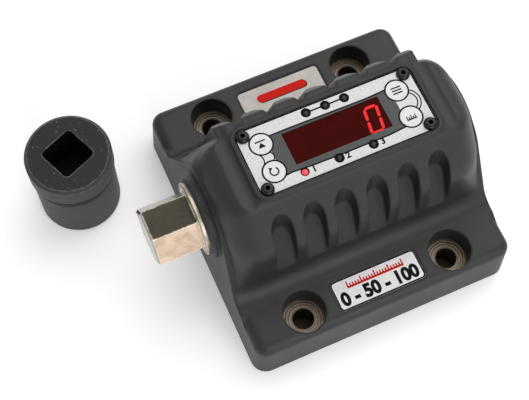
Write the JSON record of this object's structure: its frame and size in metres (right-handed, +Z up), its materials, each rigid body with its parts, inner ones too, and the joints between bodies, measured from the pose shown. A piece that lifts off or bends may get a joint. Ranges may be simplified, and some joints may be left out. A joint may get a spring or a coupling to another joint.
{
  "type": "torque wrench tester",
  "caption": "Bench torque wrench tester: painted cast housing with fluted flanks, digital display and keys on top, hexagonal torque input at one end, loose square drive adaptor beside it.",
  "frame": {"origin": "centre of the bench bolt pattern, on the underside of the base", "axes": "+X along the torque shaft, away from its input hexagon; -Y towards the operator; +Z up"},
  "size_m": [0.2099, 0.1509, 0.0912],
  "materials": {
    "housing_paint": "satin charcoal paint",
    "cover_sheet": "plain sheet",
    "zinc_steel": "zinc plated",
    "black_screw": "black oxide",
    "panel_film": "silver film on sheet",
    "window_red": "dark red filter",
    "digit_case": "matt",
    "lamp_lens": "smoked lens",
    "lamp_lit": "lit lens",
    "board_green": "solder mask",
    "black_plastic": "moulded",
    "key_white": "matt cap",
    "plunger_plastic": "moulded",
    "gasket_foam": "closed-cell foam",
    "shaft_steel": "ground alloy steel",
    "bright_steel": "bright",
    "bush_bronze": "bearing bronze",
    "seal_rubber": "moulded",
    "gauge_film": "foil on film",
    "label_film": "printed film",
    "plate_aluminium": "brushed",
    "capacitor_can": "can",
    "ribbon_grey": "flat cable",
    "gold_pin": "plated",
    "adaptor_steel": "blackened alloy steel"
  },
  "bodies": {
    "tester": {"housing": "housing_paint", "base_cover": "cover_sheet", "base_cover_screws": "zinc_steel", "board_spacers": "zinc_steel", "main_board": "board_green", "main_board_screws": "zinc_steel", "main_board_chips": "black_plastic", "capacitors": "capacitor_can", "main_header": "black_plastic", "display_board": "board_green", "display_board_screws": "zinc_steel", "display_header": "black_plastic", "ribbon_cable": "ribbon_grey", "digit_modules": "digit_case", "range_leds": "lamp_lens", "lit_unit_led": "lamp_lit", "unit_leds": "lamp_lens", "key_switches": "black_plastic", "panel_gasket": "gasket_foam", "display_panel": "panel_film", "display_window": "window_red", "panel_screws": "black_screw", "torque_shaft": "shaft_steel", "strain_gauges": "gauge_film", "gauge_header": "black_plastic", "gauge_lead": "ribbon_grey", "retaining_collar": "bright_steel", "shaft_seal": "seal_rubber", "shaft_bush": "bush_bronze", "shaft_anchor": "zinc_steel", "anchor_screws": "black_screw", "front_plate": "label_film", "rear_plate": "plate_aluminium", "serial_shell": "zinc_steel", "serial_insulator": "black_plastic", "serial_pins": "gold_pin", "serial_jackscrews": "zinc_steel", "power_inlet": "black_plastic", "power_inlet_pin": "gold_pin"},
    "reset_button": {"reset_key": "key_white", "reset_plunger": "plunger_plastic"},
    "limit_button": {"limit_key": "key_white", "limit_plunger": "plunger_plastic"},
    "unit_button": {"unit_key": "key_white", "unit_plunger": "plunger_plastic"},
    "mode_button": {"mode_key": "key_white", "mode_plunger": "plunger_plastic"},
    "adaptor": {"square_adaptor": "adaptor_steel"}
  },
  "joints": [
    {"name": "reset_press", "type": "slide", "parent": "tester", "child": "reset_button", "axis": [0, 0, -1], "range_m": [0, 0.0004], "stiffness_N_per_m": 2000, "springref_m": -0.0002},
    {"name": "limit_press", "type": "slide", "parent": "tester", "child": "limit_button", "axis": [0, 0, -1], "range_m": [0, 0.0004], "stiffness_N_per_m": 2000, "springref_m": -0.0002},
    {"name": "unit_press", "type": "slide", "parent": "tester", "child": "unit_button", "axis": [0, 0, -1], "range_m": [0, 0.0004], "stiffness_N_per_m": 2000, "springref_m": -0.0002},
    {"name": "mode_press", "type": "slide", "parent": "tester", "child": "mode_button", "axis": [0, 0, -1], "range_m": [0, 0.0004], "stiffness_N_per_m": 2000, "springref_m": -0.0002},
    {"name": "adaptor_lift", "type": "slide", "parent": "tester", "child": "adaptor", "axis": [0, 0, 1], "range_m": [0, 0.06]}
  ]
}
